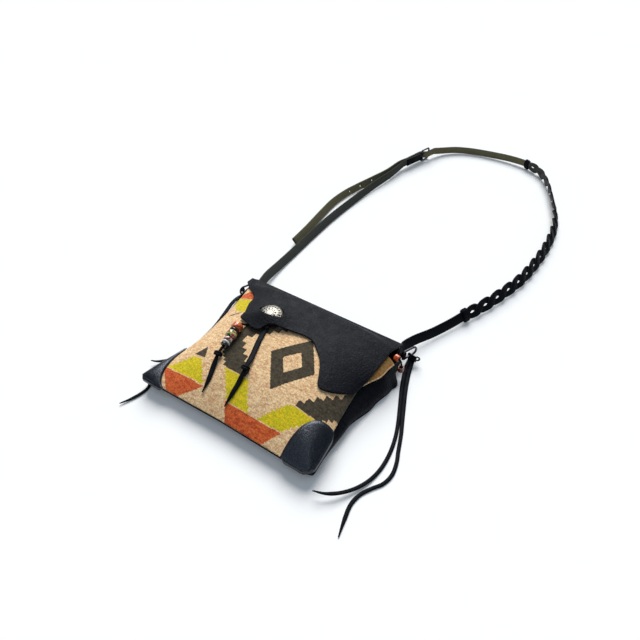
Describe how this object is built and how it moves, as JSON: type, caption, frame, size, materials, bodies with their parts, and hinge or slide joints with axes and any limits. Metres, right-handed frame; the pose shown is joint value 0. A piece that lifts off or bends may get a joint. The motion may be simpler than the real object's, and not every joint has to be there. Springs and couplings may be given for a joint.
{
  "type": "shoulder bag",
  "caption": "Small flat shoulder bag lying on its back: patterned wool front, leather flap with a scalloped edge and dome button, side gussets, ring tabs with laces and a part-braided strap.",
  "frame": {"origin": "on the floor under the bag, at the middle of the flat back", "axes": "+Z out of the front of the bag, +Y from its bottom seam to the fold of the flap, +X to the right when the front is looked at"},
  "size_m": [0.3354, 0.7668, 0.0525],
  "materials": {
    "black_leather": "pebbled, low sheen",
    "flesh_leather": "matte flesh side",
    "wool": "felted wool weave",
    "silver": "polished with dark recesses",
    "dark_metal": "dark plated, satin",
    "amber_bead": "gloss",
    "black_bead": "gloss",
    "green_bead": "gloss",
    "rose_bead": "gloss",
    "white_bead": "gloss"
  },
  "bodies": {
    "bag": {"front_panel": "wool", "corner_patch_left": "black_leather", "corner_patch_right": "black_leather", "back_panel": "black_leather", "gusset_left": "black_leather", "gusset_right": "black_leather", "concho": "silver", "buckle_strap": "black_leather", "buckle_frame": "dark_metal", "adjuster_strap": "flesh_leather", "braided_strap": "black_leather", "right_strap": "black_leather", "braid_tie_top": "black_leather", "braid_tie_bottom": "black_leather", "ring_tab_left": "black_leather", "ring_tab_right": "black_leather", "lace_right_inner": "black_leather", "lace_right_outer": "black_leather", "lace_left_inner": "black_leather", "lace_left_outer": "black_leather", "thong_beaded": "black_leather", "thong_plain": "black_leather", "thong_knot_beaded": "black_leather", "thong_knot_plain": "black_leather", "bead_amber": "amber_bead", "bead_black": "black_bead", "bead_green": "green_bead", "bead_rose": "rose_bead", "bead_white": "white_bead", "bead_dark": "black_bead", "corner_lace": "black_leather", "corner_bead_upper": "amber_bead", "corner_bead_lower": "amber_bead"},
    "flap": {"flap": "black_leather"},
    "prong": {"buckle_prong": "dark_metal"},
    "left_ring": {"ring_left": "dark_metal", "lace_knot_left": "black_leather"},
    "right_ring": {"ring_right": "dark_metal", "lace_knot_right": "black_leather"}
  },
  "joints": [
    {"name": "flap_fold", "type": "hinge", "parent": "bag", "child": "flap", "pos_m": [0, 0.0963, 0.0243], "axis": [-1, 0, 0], "range_deg": [0, 165]},
    {"name": "prong_pivot", "type": "hinge", "parent": "bag", "child": "prong", "pos_m": [-0.0804, 0.55, 0.0113], "axis": [0, 0, 1], "range_deg": [0, 8]},
    {"name": "left_ring_swing", "type": "hinge", "parent": "bag", "child": "left_ring", "pos_m": [-0.1039, 0.092, 0.0135], "axis": [0, 0, 1], "range_deg": [-100, 0]},
    {"name": "right_ring_swing", "type": "hinge", "parent": "bag", "child": "right_ring", "pos_m": [0.1149, 0.092, 0.0135], "axis": [0, 0, 1], "range_deg": [-100, 5]}
  ]
}
